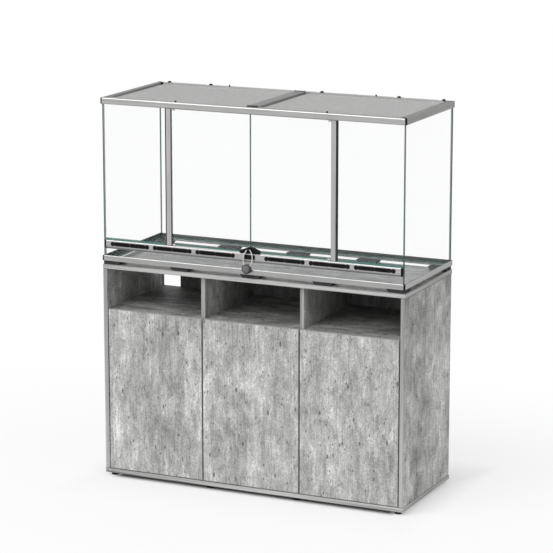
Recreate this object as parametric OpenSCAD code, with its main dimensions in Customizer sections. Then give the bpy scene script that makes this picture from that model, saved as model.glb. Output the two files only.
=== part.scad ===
// Glass terrarium with two hinged front doors and lift-off mesh lids, standing on a
// three-door cabinet with open niches. Millimetres. +X is right, +Y is back, +Z is up.
// The origin is on the floor, under the centre of the cabinet.

/* [Cabinet] */
// Width of the cabinet, and of the terrarium's frames
cab_w = 1200; // [1100:10:1400]
// Depth of the cabinet's top and bottom boards
cab_d = 456; // [420:4:560]
// Height of the cabinet above its feet
cab_h = 798; // [720:1:900]
// Thickness of the sides, dividers, shelves and bottom board
board_t = 16; // [12:1:20]
// Thickness of the top board
top_t = 16; // [14:1:25]
// Thickness of the back panel
back_t = 8; // [4:1:10]
// Depth of the rebate in each side that holds the back panel
rebate = 6; // [3:1:9]
// How far the top and bottom boards stand out behind the back panel
back_set = 5; // [2:1:12]
// Clear height of the open niches
niche_h = 153; // [130:1:190]
// Radius of the banded edges
edge_r = 1; // [0.5:0.25:2]

/* [Cable cut-out] */
// Width of the cut-out in the back of the left niche
cut_w = 74; // [40:1:120]
// Height of the cut-out
cut_h = 110; // [40:1:120]
// Gap between the cut-out and the side panel
cut_side = 3; // [2:1:20]

/* [Cabinet feet] */
// Diameter of a foot
foot_d = 30; // [24:1:40]
// Height of a foot
foot_h = 12; // [6:1:25]
// Foot centre from the cabinet's end
foot_inset_x = 27; // [22:1:60]
// Foot centre from the cabinet's front or back
foot_inset_y = 26; // [22:1:60]
// Middle feet from the centre line
foot_mid_x = 175; // [120:5:260]

/* [Cabinet doors] */
// Thickness of a door
door_t = 16; // [14:1:20]
// Gap between an outer door and the side panel
door_side_gap = 5; // [4:0.5:7]
// Gap between two doors
door_seam = 6; // [4:0.5:8]
// Gap under the doors
door_foot_gap = 2; // [1.5:0.5:4]
// Gap between the doors' backs and the carcass
door_back_gap = 2; // [1.8:0.1:4]
// Diameter of a hinge cup
cup_d = 35; // [30:1:38]
// Depth of the cup's bore in the door
cup_depth = 11.5; // [9:0.5:12.5]
// Cup centre from the door's edge
cup_inset = 22.5; // [21:0.5:26]
// Cup centre from the door's top or bottom
cup_end = 90; // [60:5:140]
// Diameter of a push latch's plunger
plunger_d = 7; // [5:0.5:9]
// Travel of a plunger
plunger_travel = 3; // [2:0.5:5]
// Length of a push latch's housing
latch_len = 50; // [35:1:70]
// Plunger centre from the door's free edge
latch_inset = 42; // [30:1:80]

/* [Terrarium] */
// Height of the pads under the terrarium
pad_h = 14.5; // [8:0.5:16]
// Length of a pad at its top
pad_len = 84; // [60:1:110]
// How much shorter each end of a pad is at its foot
pad_slope = 12; // [6:1:18]
// Depth of a pad, front to back
pad_d = 53; // [30:1:70]
// How far in from the frames' ends the end pads are cut square
pad_inset = 3; // [0:1:20]
// How far the frames stand in front of the cabinet
frame_front = 3; // [0:0.5:8]
// How far they stand out behind it
frame_back = 2; // [0:0.5:6]
// Height of the glass tank, from the base frame's foot to the top frame's top
tank_h = 605; // [500:0.5:700]
// Thickness of the side, back and lower front panes
pane_t = 6; // [5:0.5:7]
// Thickness of the glass doors and the fixed front panes
door_pane_t = 5; // [4:0.5:6]
// Thickness of the base pane
base_pane_t = 8; // [6:1:10]
// Distance from a frame's outside to its side and back panes
pane_in = 4; // [3.5:0.5:5]
// Distance from the frames' front to the front panes
front_in = 7; // [6:0.5:9]
// Clearance of a pane in its channel, each side
pane_gap = 0.4; // [0.2:0.1:0.6]

/* [Frames] */
// Height of the base frame
base_rail_h = 19.5; // [18:0.5:30]
// Width of the base frame's ledge
base_rail_d = 30; // [24:1:40]
// Thickness of the base frame's walls
base_wall = 3; // [2.5:0.25:3.4]
// Height of the top frame
top_rail_h = 23.5; // [20:0.5:30]
// Width of the top frame's rails
top_rail_d = 26; // [22:1:34]
// Width of the crossbar between the lids
crossbar_w = 42; // [30:1:50]
// How far the crossbar stands above the rails
crossbar_rise = 2; // [1:0.25:2.5]
// Wall of the hollow rails
rail_wall = 2; // [1.5:0.25:2.5]
// Radius along the rails' outer top edge
rail_r = 5; // [3:0.5:6]
// How deep the panes stand in the top frame
pane_seat = 9; // [6:0.5:10]
// Width of the black corner pieces on each face
cap_t = 6; // [3:0.5:8]
// Radius of the frames' upright corners
corner_r = 2; // [1:0.25:3]
// Thickness of the black plates at the crossbar's ends
plate_t = 2; // [1:0.5:3]
// How far those plates stand above the rails
plate_proud = 3.5; // [3:0.25:4]
// Diameter of a cable grommet
grommet_d = 16; // [12:1:20]
// Height of a grommet above the top frame
grommet_h = 5; // [3:0.5:6]
// Width of the cable notch beside a grommet
notch_w = 18; // [10:1:24]
// First grommet from the left end of the top frame
grommet_left = 51; // [46:1:90]
// Last grommet from the right end
grommet_right = 39; // [36:1:90]
// Spacing of the two grommets nearest each end
grommet_pitch = 174; // [120:1:220]
// Middle grommet, to the right of the centre line
grommet_mid = 81; // [60:1:120]

/* [Ventilation profile] */
// Height of the profile below the glass doors
vent_h = 31.5; // [28:0.5:40]
// Height of its recessed lower lip
vent_lip_h = 5.5; // [4:0.5:8]
// Depth of the profile
vent_d = 17; // [17:0.5:24]
// Radius along the profile's top front edge
vent_r = 3; // [1:0.5:3]
// Height of the glass below the profile
front_sill = 26.5; // [20:0.5:60]
// Gap between two vent inserts
insert_gap = 16; // [13:0.5:24]
// Height of a vent insert
insert_h = 16.5; // [12:0.5:18]
// Plain length at the middle of the profile
insert_mid = 117; // [100:1:140]
// Plain length at each end of the profile
insert_end = 19.5; // [15:0.5:30]
// Width of a slit in an insert
slit_w = 2; // [1.5:0.5:3]
// Width of the blank plate at the middle
blank_w = 42; // [30:1:60]
// Height of the blank plate
blank_h = 17; // [12:0.5:19]

/* [Glass doors] */
// Outer width of an upright
upright_w = 18.5; // [14:0.5:24]
// Depth of an upright
upright_d = 13; // [13:0.5:16]
// Upright's centre from the centre line
upright_x = 324.75; // [280:0.25:400]
// Gap beside, above and below a glass door
glass_gap = 1.5; // [1:0.25:3]
// Diameter of a door's pivot pins
pivot_d = 3; // [2.5:0.25:3.5]
// Radial clearance of the pivot pins
pivot_gap = 0.05; // [0.02:0.01:0.1]
// Thickness of the pivot bearings' feet
bearing_t = 1.5; // [1:0.25:1.5]
// Length of a corner handle
handle_len = 37; // [28:1:55]
// Height of a corner handle at the seam
handle_h = 20; // [19:1:34]
// Height of a corner handle at its outer end
handle_end_h = 8.5; // [7:0.5:12]

/* [Cable lock] */
// Diameter of the sleeved cable
cable_d = 3.5; // [2.5:0.25:4]
// Radius of the cable's long side bows
bow_r = 50; // [48:1:60]
// Height from the top of the cable to the centre of the lock's body
lock_drop = 72.5; // [68:0.5:76]
// Angle at which the lock hangs askew
lock_tilt = 7; // [0:1:9]
// Diameter of the lock's body
lock_d = 36; // [30:1:44]
// Thickness of the lock's body
lock_t = 12; // [9:0.5:16]

/* [Mesh lids] */
// Thickness of a lid's rim
lid_rim_t = 4; // [3:0.5:6]
// Width of a lid's rim
lid_rim_w = 8; // [6:0.5:14]
// Width of a bar in the mesh
mesh_bar = 2; // [1.5:0.25:3]
// Thickness of the mesh
mesh_t = 1.5; // [1:0.25:2]
// Openings along a lid
mesh_nx = 15; // [8:1:15]
// Openings across a lid
mesh_ny = 10; // [6:1:10]
// Gap around a lid
lid_gap = 1.5; // [1:0.25:3]
// Width of the ledge that carries the lids
ledge = 8; // [6:0.5:12]

/* [Hidden] */
$fn = 48;
eps = 0.01;

// Colours
concrete = [0.71, 0.71, 0.70];
alloy = [0.74, 0.74, 0.73];
black = [0.10, 0.10, 0.11];
steel = [0.72, 0.73, 0.74];
clear = [0.80, 0.90, 0.88, 0.35];
lock_grey = [0.36, 0.37, 0.40];
sleeve = [0.80, 0.80, 0.78];

// Cabinet levels and places
front_y = -cab_d / 2;
rear_y = cab_d / 2;
base_z = foot_h;
floor_z = foot_h + board_t;
deck_z = foot_h + cab_h;
ceiling_z = deck_z - top_t;
shelf_z = ceiling_z - niche_h;
inner_w = cab_w - 2 * board_t;
niche_w = (inner_w - 2 * board_t) / 3;
divider_x = (niche_w + board_t) / 2;
carcass_y = front_y + door_t + door_back_gap;
side_rear_y = rear_y - back_set;
back_y = side_rear_y - back_t;
back_play = 0.5;

// Cabinet doors. Each turns about a line in the gap beside its front edge.
door_w = (inner_w - 2 * door_side_gap - 2 * door_seam) / 3;
door_pitch = door_w + door_seam;
door_z = floor_z + door_foot_gap;
door_h = shelf_z - door_z;
door_back_y = front_y + door_t;
cup_play = 0.1;
cup_wall = 1.9;
cup_floor = 1;
flange_t = 1.2;
flange_w = 30;
flange_len = 62;
hinge_plate = [3, 36, 48];
arm_h = 12;
latch_size = 13;
plunger_in = 12;
plunger_play = 0.05;
tip_gap = 0.3;

// Terrarium levels and places
tank_z = deck_z + pad_h;
base_top_z = tank_z + base_rail_h;
glass_play = 0.4;
vent_z = base_top_z + front_sill;
sill_z = vent_z + vent_h;
frame_z = tank_z + tank_h - top_rail_h;
top_z = frame_z + top_rail_h;
half_w = cab_w / 2;
frame_y = front_y - frame_front;
frame_rear_y = rear_y + frame_back;
frame_mid_y = (frame_y + frame_rear_y) / 2;
pane_x = half_w - pane_in;
pane_front_y = frame_y + front_in;
pane_rear_y = frame_rear_y - pane_in;
pane_base_z = tank_z + base_wall;
pane_top_z = frame_z + pane_seat;
pad_set = 5;
pad_pitch = (half_w - pad_inset + 1 - pad_len / 2 + pad_slope) / 2;

// Glass doors
upright_y = pane_front_y - 4;
upright_in = upright_x - upright_w / 2;
upright_out = upright_x + upright_w / 2;
gasket_w = 5;
gasket_t = 1.6;
gasket_in = 4.5;
door_edge_x = upright_in - glass_gap;
seam_half = glass_gap / 2;
pivot_x = door_edge_x - 5;
pivot_y = pane_front_y + door_pane_t / 2;
shoe_len = 10.5;
shoe_h = 6;
shoe_wall = 1;
shoe_base = 2;
shoe_gap = 0.5;
pin_depth = 4;
block_w = 12;
block_h = 6;
block_play = 0.1;
block_d = door_pane_t + 2 * pane_gap - 2 * block_play;
glass_z = sill_z + 2;
glass_top_z = frame_z - 2;
handle_front = 10;
handle_back = 4;
handle_z = sill_z + 1;
handle_seam = 1.2;

// Cable lock: the cable crosses both handles through their eyes.
eye_y = pane_front_y - 16;
eye_z = handle_z + 15;
eye_wall = 2;
eye_w = 3;
eye_gap = 1.05;
apex_z = eye_z + 0.85;
cable_in = 6;

// Lids
lid_seat = 12.5;
lid_z = frame_z + lid_seat;
lid_x0 = crossbar_w / 2 + lid_gap;
lid_x1 = half_w - top_rail_d - lid_gap;
lid_y0 = frame_y + top_rail_d + lid_gap;
lid_y1 = frame_rear_y - top_rail_d - lid_gap;
ledge_t = 2.5;

// Grommets along the back rail, each with a cable notch on its left
grommet_xs = [grommet_left - half_w, grommet_left + grommet_pitch - half_w, grommet_mid,
              half_w - grommet_right - grommet_pitch, half_w - grommet_right];
notch_d = 13;
notch_h = 3;
button_x = half_w / 2 - 3;
button_d = 6;
button_h = 5;

// A rectangle with round corners
module round_rect(size, r) {
    translate([r, 0]) square([size.x - 2 * r, size.y]);
    translate([0, r]) square([size.x, size.y - 2 * r]);
    for (x = [r, size.x - r], y = [r, size.y - r]) translate([x, y]) circle(r);
}

// A bar from one corner to the other, with the four edges along one axis rounded
module bar(lo, hi, along = "x", r = edge_r) {
    s = hi - lo;
    translate(lo)
        if (along == "x") rotate([90, 0, 90]) linear_extrude(s.x) round_rect([s.y, s.z], r);
        else if (along == "y")
            translate([0, s.y, 0]) rotate([90, 0, 0]) linear_extrude(s.y) round_rect([s.x, s.z], r);
        else linear_extrude(s.z) round_rect([s.x, s.y], r);
}

// A plain box from one corner to the other
module box(lo, hi) {
    translate(lo) cube(hi - lo);
}

// The same shape on the right, mirrored to the left for side = -1
module on_side(side) {
    if (side < 0) mirror([1, 0, 0]) children();
    else children();
}

// ---------------------------------------------------------------- cabinet

module bottom_board() {
    color(concrete)
        bar([-half_w, front_y, base_z], [half_w, rear_y, floor_z]);
}

module top_board() {
    color(concrete)
        bar([-half_w, front_y, ceiling_z], [half_w, rear_y, deck_z]);
}

// Side panel between the bottom and top boards, rebated for the back panel
module side_panel(side) {
    color(concrete) on_side(side) difference() {
        bar([half_w - board_t, front_y, floor_z], [half_w, side_rear_y, ceiling_z], "z");
        box([half_w - board_t - eps, back_y, floor_z - 1],
            [half_w - board_t + rebate, side_rear_y + 1, ceiling_z + 1]);
    }
}

module divider(side) {
    color(concrete) on_side(side)
        bar([divider_x - board_t / 2, carcass_y, floor_z],
            [divider_x + board_t / 2, back_y, ceiling_z], "z");
}

module niche_shelves() {
    color(concrete) for (i = [-1:1])
        translate([i * (niche_w + board_t), 0, 0])
            bar([-niche_w / 2, carcass_y, shelf_z - board_t], [niche_w / 2, back_y, shelf_z]);
}

// Back panel in the sides' rebates, with the cable cut-out behind the left niche
module back_panel() {
    edge = inner_w / 2 + rebate - back_play;
    cut_x = -inner_w / 2 + cut_side;
    color(concrete) difference() {
        box([-edge, back_y, floor_z], [edge, side_rear_y, ceiling_z]);
        translate([cut_x, side_rear_y + 1, shelf_z]) rotate([90, 0, 0])
            linear_extrude(back_t + 2) round_rect([cut_w, cut_h], 2);
    }
}

// Round glides, chamfered at the floor
module cabinet_feet() {
    chamfer = 1.5;
    ys = [front_y + foot_inset_y, 0, rear_y - foot_inset_y];
    xs = [-half_w + foot_inset_x, -foot_mid_x, foot_mid_x, half_w - foot_inset_x];
    color(black) for (x = xs, y = ys) translate([x, y, 0]) rotate_extrude()
        polygon([[0, 0], [foot_d / 2 - chamfer, 0], [foot_d / 2, chamfer],
                 [foot_d / 2, foot_h], [0, foot_h]]);
}

// Door number i is -1, 0 or 1. Its hinges are on the right for side 1, else on the left.
function door_x(i) = i * door_pitch;
function hinge_side(i) = i > 0 ? 1 : -1;
function cup_x(i) = door_x(i) + hinge_side(i) * (door_w / 2 - cup_inset);
function hinge_face(i) = i == 0 ? -divider_x + board_t / 2 : hinge_side(i) * inner_w / 2;
hinge_zs = [door_z + cup_end, door_z + door_h - cup_end];

module cabinet_door(i) {
    color(concrete) difference() {
        bar([door_x(i) - door_w / 2, front_y, door_z],
            [door_x(i) + door_w / 2, door_back_y, door_z + door_h], "z");
        for (z = hinge_zs) translate([cup_x(i), door_back_y - cup_depth, z])
            rotate([-90, 0, 0]) cylinder(h = cup_depth + 1, d = cup_d);
    }
}

// Pressed steel cups: a hollow cup in the door's bore and a flange on the door's back
module hinge_cups(i) {
    cup_r = cup_d / 2 - cup_play;
    hollow_r = cup_r - cup_wall;
    color(steel) for (z = hinge_zs) translate([cup_x(i), door_back_y, z]) rotate([-90, 0, 0])
        difference() {
            union() {
                translate([0, 0, -cup_depth]) cylinder(h = cup_depth, r = cup_r);
                translate([-flange_w / 2, -flange_len / 2, 0]) linear_extrude(flange_t)
                    round_rect([flange_w, flange_len], 8);
                cylinder(h = flange_t, r = cup_r);
            }
            translate([0, 0, cup_floor - cup_depth]) cylinder(h = cup_depth + flange_t, r = hollow_r);
            for (y = [-1, 1]) translate([0, y * (flange_len / 2 - 6), -1]) cylinder(h = 4, d = 4);
        }
}

// One mounting plate and cranked arm. Its tip stands in the cup when the door is shut.
// Drawn in plan for a hinge face at x = 0 with the cup at x = reach, door's back at y = 0.
module hinge_arm(reach) {
    plate_y = 14;
    tip = [reach - 7.5, reach - 3.5];
    arm_x = hinge_plate.x;
    arm_t = 9;
    translate([0, plate_y, -hinge_plate.z / 2]) cube([arm_x, hinge_plate.y, hinge_plate.z]);
    translate([0, 0, -arm_h / 2]) linear_extrude(arm_h)
        polygon([[arm_x, plate_y + hinge_plate.y - 3], [arm_x, plate_y], [tip[0] - 5, 3],
                 [tip[0], 3], [tip[0], -6], [tip[1], -6], [tip[1], 8],
                 [arm_x + arm_t, plate_y + 3], [arm_x + arm_t, plate_y + hinge_plate.y - 3]]);
}

module hinge_arms() {
    color(steel) for (i = [-1:1], z = hinge_zs)
        translate([hinge_face(i), door_back_y, z])
            if (hinge_side(i) > 0) mirror([1, 0, 0]) hinge_arm(hinge_face(i) - cup_x(i));
            else hinge_arm(cup_x(i) - hinge_face(i));
}

// Push latches under the shelves, at each door's free edge
function latch_x(i) = door_x(i) - hinge_side(i) * (door_w / 2 - latch_inset);
latch_z = shelf_z - board_t - latch_size / 2;
latch_y = carcass_y + 1;

module latch_housings() {
    color(black) for (i = [-1:1]) difference() {
        union() {
            bar([latch_x(i) - latch_size / 2, latch_y, latch_z - latch_size / 2],
                [latch_x(i) + latch_size / 2, latch_y + latch_len, latch_z + latch_size / 2],
                "y", 3);
            bar([latch_x(i) - latch_size, latch_y + 12, latch_z + latch_size / 2 - 3],
                [latch_x(i) + latch_size, latch_y + 32, latch_z + latch_size / 2], "z", 3);
        }
        translate([latch_x(i), latch_y - 1, latch_z]) rotate([-90, 0, 0])
            cylinder(h = 1 + plunger_in + plunger_travel + 2, r = plunger_d / 2 + plunger_play);
    }
}

module latch_plunger(i) {
    tip_y = door_back_y + tip_gap;
    color(black) translate([latch_x(i), 0, latch_z]) rotate([-90, 0, 0]) rotate_extrude()
        polygon([[0, tip_y], [plunger_d / 2 - 0.8, tip_y], [plunger_d / 2, tip_y + 0.8],
                 [plunger_d / 2, latch_y + plunger_in], [0, latch_y + plunger_in]]);
}

// ---------------------------------------------------------------- frames

// Waste at an upper outer corner, for a radius r on a section of height h
module corner_waste(h, r) {
    translate([0, h]) mirror([0, 1]) difference() {
        translate([-1, -1]) square(r + 1);
        translate([r, r]) circle(r);
    }
}

// Section of the base frame: u runs inwards from the outside, v runs up
module base_section() {
    difference() {
        union() {
            square([base_wall, base_rail_h]);
            square([base_rail_d, base_wall]);
        }
        corner_waste(base_rail_h, base_wall - 0.5);
    }
}

// Outline of the top frame's section: a box above the panes and an outer wall beside them
module top_outline() {
    box_v = pane_seat + pane_gap;
    difference() {
        union() {
            translate([0, box_v]) square([top_rail_d, top_rail_h - box_v]);
            square([rail_wall, top_rail_h - rail_r]);
        }
        corner_waste(top_rail_h, rail_r);
    }
}

// Section of a top rail: the box is hollow, and legs under it hold the pane. Its inset is
// the distance to the pane, and t is the pane's thickness.
module top_section(inset, t) {
    box_v = pane_seat + pane_gap;
    inner_u = inset + t + pane_gap;
    outer_u = inset - pane_gap - rail_wall;
    difference() {
        union() {
            top_outline();
            translate([outer_u, 0]) square([rail_wall, box_v + 1]);
            translate([inner_u, 2]) square([rail_wall, box_v]);
            translate([top_rail_d - rail_wall, 0]) square([rail_wall, top_rail_h - rail_r]);
        }
        translate([rail_r, box_v + rail_wall])
            square([top_rail_d - rail_r - rail_wall, top_rail_h - box_v - 2 * rail_wall]);
    }
}

// Section of the crossbar: an open channel, a little higher than the rails
module crossbar_section() {
    h = top_rail_h + crossbar_rise;
    difference() {
        translate([0, lid_seat]) square([crossbar_w, h - lid_seat]);
        translate([rail_wall, lid_seat - 1])
            square([crossbar_w - 2 * rail_wall, h - lid_seat - rail_wall + 1]);
        corner_waste(h, 1.5);
        translate([crossbar_w, 0]) mirror([1, 0]) corner_waste(h, 1.5);
    }
}

// A section swept along X at the frame's front, or mirrored to its back
module sweep_x(x0, x1, z, back = false) {
    module run() {
        translate([x0, frame_y, z]) rotate([90, 0, 90]) linear_extrude(x1 - x0) children();
    }
    if (back) translate([0, 2 * frame_mid_y, 0]) mirror([0, 1, 0]) run() children();
    else run() children();
}

// A section swept along Y at the frame's right side
module sweep_y(y0, y1, z) {
    translate([half_w, y1, z]) mirror([1, 0, 0]) rotate([90, 0, 0])
        linear_extrude(y1 - y0) children();
}

// Clips a front or back rail at both of its mitres, cap_t short of the corners' diagonals
module mitre_x(depth, z, h, back) {
    y = back ? frame_rear_y : frame_y;
    n = back ? -1 : 1;
    translate([0, 0, z - 1]) linear_extrude(h + 10)
        polygon([[-half_w + cap_t - 1, y - n], [half_w - cap_t + 1, y - n],
                 [half_w - cap_t - depth - 20, y + n * (depth + 20)],
                 [-half_w + cap_t + depth + 20, y + n * (depth + 20)]]);
}

// Clips the right-hand rail in the same way
module mitre_y(depth, z, h) {
    translate([0, 0, z - 1]) linear_extrude(h + 10)
        polygon([[half_w + 1, frame_y + cap_t - 1], [half_w + 1, frame_rear_y - cap_t + 1],
                 [half_w - depth - 20, frame_rear_y - cap_t - depth - 20],
                 [half_w - depth - 20, frame_y + cap_t + depth + 20]]);
}

module base_rail_x(back) {
    color(alloy) intersection() {
        sweep_x(-half_w, half_w, tank_z, back) base_section();
        mitre_x(base_rail_d, tank_z, base_rail_h, back);
    }
}

module base_rail_y(side) {
    color(alloy) on_side(side) intersection() {
        sweep_y(frame_y, frame_rear_y, tank_z) base_section();
        mitre_y(base_rail_d, tank_z, base_rail_h);
    }
}

// Black pieces that fill a frame's four mitres, with its section's outline as children
module corner_pieces(z, h, depth) {
    for (s = [-1, 1], back = [false, true]) on_side(s) difference() {
        union() {
            intersection() {
                sweep_x(half_w - depth - cap_t - 2, half_w, z, back) children();
                corner_wedge(z, h, depth, back) polygon([[0, 0], [cap_t, 0], [depth + cap_t, depth],
                                                         [depth, depth]]);
            }
            intersection() {
                sweep_y(frame_y, frame_rear_y, z) children();
                corner_wedge(z, h, depth, back) polygon([[0, 0], [depth, depth],
                                                         [depth, depth + cap_t], [0, cap_t]]);
            }
        }
        corner_wedge(z, h, depth, back) corner_fill(corner_r);
    }
}

// Plan shape at a right-hand corner, with its own axes running inwards from the corner
module corner_wedge(z, h, depth, back) {
    translate([half_w, back ? frame_rear_y : frame_y, z - 1]) mirror([1, 0, 0])
        mirror([0, back ? 1 : 0, 0]) linear_extrude(h + 10) children();
}

module base_frame_corners() {
    color(black) corner_pieces(tank_z, base_rail_h, base_rail_d) base_section();
}

// Low blocks with sloping ends, under the front and back of the base frame. The outermost
// ones are cut square near its corners.
module tank_pads() {
    color(black) for (i = [-2:2], back = [false, true])
        translate([0, back ? frame_rear_y - pad_set : frame_y + pad_set + pad_d, deck_z])
            rotate([90, 0, 0]) linear_extrude(pad_d) intersection() {
                translate([i * pad_pitch, 0])
                    polygon([[-pad_len / 2 + pad_slope, 0], [pad_len / 2 - pad_slope, 0],
                             [pad_len / 2, pad_h], [-pad_len / 2, pad_h]]);
                translate([pad_inset - half_w, 0]) square([cab_w - 2 * pad_inset, pad_h]);
            }
}

// Front or back top rail, with the ledge that carries the lids and the crossbar
module top_rail_x(back) {
    reach = half_w - top_rail_d - cap_t - 1;
    color(alloy) difference() {
        union() {
            intersection() {
                sweep_x(-half_w, half_w, frame_z, back)
                    top_section(back ? pane_in : front_in, back ? pane_t : door_pane_t);
                mitre_x(top_rail_d, frame_z, top_rail_h, back);
            }
            sweep_x(-reach, reach, frame_z, back)
                translate([top_rail_d - 1, lid_seat - ledge_t]) square([ledge + 1, ledge_t]);
        }
        if (back) for (x = grommet_xs)
            box([x - grommet_d / 2 - notch_w, frame_rear_y - notch_d, top_z - notch_h],
                [x - grommet_d / 2, frame_rear_y + 1, top_z + 1]);
    }
}

// Side rail with its ledge
module top_rail_y(side) {
    reach = top_rail_d + ledge + 1;
    color(alloy) on_side(side) {
        intersection() {
            sweep_y(frame_y, frame_rear_y, frame_z) top_section(pane_in, pane_t);
            mitre_y(top_rail_d, frame_z, top_rail_h);
        }
        sweep_y(frame_y + reach, frame_rear_y - reach, frame_z)
            translate([top_rail_d - 1, lid_seat - ledge_t]) square([ledge + 1, ledge_t]);
    }
}

// Crossbar between the lids. It rests on the front and back ledges, and its own foot
// carries the lids' inner edges.
module crossbar() {
    y0 = frame_y + top_rail_d;
    y1 = frame_rear_y - top_rail_d;
    half = crossbar_w / 2;
    color(alloy) {
        translate([-half, y1 - plate_t, frame_z]) rotate([90, 0, 0])
            linear_extrude(y1 - y0 - 2 * plate_t) crossbar_section();
        box([-half - ledge, y0 + ledge + 1, lid_z - ledge_t],
            [half + ledge, y1 - ledge - 1, lid_z]);
    }
}

module top_frame_corners() {
    color(black) corner_pieces(frame_z, top_rail_h, top_rail_d) top_outline();
}

// Plates that close the crossbar's ends, each with a round lug at either end
module crossbar_plates() {
    half = crossbar_w / 2;
    lug_d = 5;
    color(black) for (y = [frame_y + top_rail_d, frame_rear_y - top_rail_d - plate_t]) {
        box([-half, y, lid_z], [half, y + plate_t, top_z + plate_proud]);
        for (s = [-1, 1])
            translate([s * (half - lug_d / 2), y + plate_t / 2, top_z + crossbar_rise])
                cylinder(h = plate_proud - crossbar_rise + 0.5, d = lug_d);
    }
}

// ---------------------------------------------------------------- glass

module base_pane() {
    reach = pane_x - pane_t - pane_gap;
    color(clear)
        box([-reach, pane_front_y + pane_t + pane_gap, pane_base_z],
            [reach, pane_rear_y - pane_t - pane_gap, pane_base_z + base_pane_t]);
}

module back_pane() {
    reach = pane_x - pane_t - glass_play;
    color(clear)
        box([-reach, pane_rear_y - pane_t, pane_base_z], [reach, pane_rear_y, pane_top_z]);
}

module side_pane(side) {
    color(clear) on_side(side)
        box([pane_x - pane_t, pane_front_y, pane_base_z], [pane_x, pane_rear_y, pane_top_z]);
}

module lower_front_pane() {
    reach = pane_x - pane_t - glass_play;
    color(clear)
        box([-reach, pane_front_y, pane_base_z],
            [reach, pane_front_y + pane_t, vent_z + vent_lip_h + vent_seat]);
}

// Fixed pane from an upright's channel to the side pane
module fixed_pane(side) {
    color(clear) on_side(side)
        box([upright_out - gasket_in + 1, pane_front_y, sill_z],
            [pane_x - pane_t - glass_play, pane_front_y + door_pane_t, pane_top_z]);
}

// ---------------------------------------------------------------- ventilation profile

vent_end = pane_x - pane_t - 6;
vent_seat = 6;
lip_in = 3.5;
insert_z = sill_z - (vent_h - vent_lip_h) / 2;
insert_len = (vent_end - insert_mid / 2 - insert_end - 2 * insert_gap) / 3;
insert_pitch = insert_len + insert_gap;
insert_xs = [for (s = [-1, 1], i = [0:2]) s * ((insert_mid + insert_len) / 2 + i * insert_pitch)];
window_h = insert_h - 7;
window_len = insert_len - insert_h;

// Hollow section, open to the room and the tank through the inserts' windows. The lower
// front pane stands in the channel under it.
module vent_section(solid = false) {
    main_h = vent_h - vent_lip_h;
    room_top = vent_lip_h + vent_seat + pane_gap;
    difference() {
        union() {
            translate([0, vent_lip_h]) square([vent_d, main_h]);
            translate([lip_in, 0]) square([front_in - pane_gap - lip_in, vent_lip_h + 1]);
            translate([front_in + pane_t + pane_gap, 0]) square([rail_wall, vent_lip_h + 1]);
        }
        corner_waste(vent_h, vent_r);
        translate([front_in - pane_gap, -1]) square([pane_t + 2 * pane_gap, room_top + 1]);
        if (!solid) translate([rail_wall, room_top + rail_wall])
            square([vent_d - 2 * rail_wall, vent_h - room_top - 2 * rail_wall]);
    }
}

module vent_profile() {
    color(alloy) difference() {
        sweep_x(-vent_end, vent_end, vent_z) vent_section();
        for (x = insert_xs) {
            box([x - window_len / 2, frame_y - 1, insert_z - window_h / 2],
                [x + window_len / 2, frame_y + rail_wall + 1, insert_z + window_h / 2]);
            box([x - window_len / 2, frame_y + vent_d - rail_wall - 1, insert_z],
                [x + window_len / 2, frame_y + vent_d + 1, insert_z + window_h / 2]);
        }
        for (s = [-1, 1]) on_side(s)
            box([pivot_x - block_w / 2 - block_play, pivot_y - block_d / 2 - block_play, sill_z - 4],
                [pivot_x + block_w / 2 + block_play, pivot_y + block_d / 2 + block_play, sill_z + 1]);
    }
}

module vent_profile_caps() {
    color(black) for (s = [-1, 1]) on_side(s)
        sweep_x(vent_end, pane_x - pane_t - glass_play, vent_z) vent_section(true);
}

// One insert: round ends, and two slitted bars with a notch between them
module insert_outline() {
    bar_h = insert_h - 2;
    neck = insert_h - 6.5;
    notch = 3;
    end_x = (insert_len - insert_h) / 2;
    bar_len = end_x - insert_h / 2 - notch / 2 - 0.75;
    for (s = [-1, 1]) {
        translate([s * end_x, 0]) circle(d = insert_h);
        translate([s * (bar_len + notch) / 2, 0]) square([bar_len, bar_h], center = true);
    }
    square([2 * end_x, neck], center = true);
}

module vent_insert() {
    slits = 9;
    span = (insert_len - 2 * insert_h) / 2 - 12;
    difference() {
        union() {
            linear_extrude(1.2) insert_outline();
            translate([-window_len / 2 + 0.2, -window_h / 2 + 0.2, -rail_wall - 1])
                cube([window_len - 0.4, window_h - 0.4, rail_wall + 1 + eps]);
        }
        for (s = [-1, 1], i = [0:slits - 1])
            translate([s * (8 + (i + 0.5) * span / slits) - slit_w / 2, -window_h / 2 + 1.2, -5])
                cube([slit_w, window_h - 2.4, 10]);
    }
}

module vent_inserts() {
    color(black) for (x = insert_xs)
        translate([x, frame_y, insert_z]) rotate([90, 0, 0]) vent_insert();
}

// Blank rounded plate at the middle of the profile
module blank_plate() {
    color(black) translate([-blank_w / 2, frame_y, insert_z - blank_h / 2])
        rotate([90, 0, 0]) linear_extrude(1.2) round_rect([blank_w, blank_h], 4);
}

// ---------------------------------------------------------------- glass doors

// Upright between a fixed pane and a door, with a channel for the pane and its gasket
module upright(side) {
    room = gasket_t + 0.1;
    z0 = sill_z + bearing_t;
    z1 = frame_z - bearing_t;
    color(alloy) on_side(side) difference() {
        bar([upright_in, upright_y, z0], [upright_out, upright_y + upright_d, z1], "z", 0.8);
        box([upright_out - gasket_in - 0.1, pane_front_y - room, z0 - 1],
            [upright_out + 1, pane_front_y + door_pane_t + room, z1 + 1]);
        box([upright_in + 2.5, upright_y + 2.5, z0 - 1],
            [upright_out - gasket_in - 2.5, upright_y + upright_d - 2.5, z1 + 1]);
    }
}

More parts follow.
